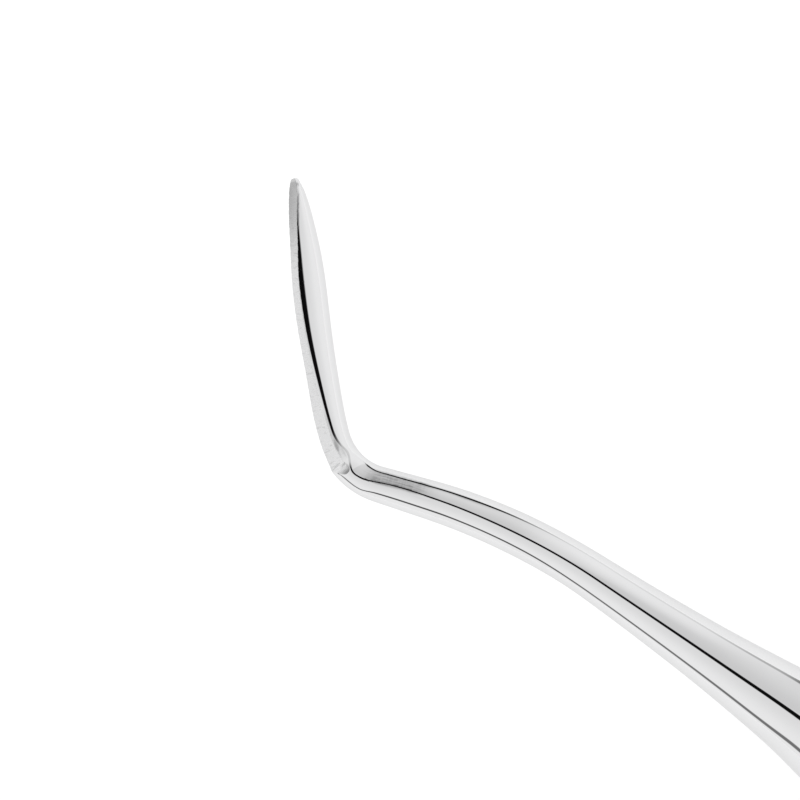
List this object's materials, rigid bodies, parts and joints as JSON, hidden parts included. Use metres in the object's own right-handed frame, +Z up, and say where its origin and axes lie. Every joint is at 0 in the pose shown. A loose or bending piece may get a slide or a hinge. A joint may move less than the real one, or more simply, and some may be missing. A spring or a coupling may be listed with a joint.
{
  "type": "dental root elevator",
  "caption": "Polished steel hand instrument: a gouge-shaped blade at the end of a bent neck, pinned into a hollow octagonal handle with a domed cap.",
  "frame": {"origin": "middle of the handle flat that the instrument lies on", "axes": "+X along the handle axis from the butt towards the blade, +Z up out of the flat, and the blade leans to -Y"},
  "size_m": [0.1619, 0.0194, 0.0124],
  "materials": {
    "mirror_steel": "mirror-polished stainless steel, with grinding marks on the blade's face",
    "satin_steel": "satin stainless steel, glass-bead blasted",
    "turned_steel": "turned stainless steel, as machined",
    "silicone": "matt black silicone"
  },
  "bodies": {
    "root": {"blade_shank": "mirror_steel", "ferrule": "mirror_steel", "front_gasket": "silicone", "tang_socket": "turned_steel", "tang_pin": "mirror_steel", "handle_shell": "satin_steel", "end_plug": "turned_steel", "end_gasket": "silicone", "end_cap": "mirror_steel"}
  },
  "joints": []
}
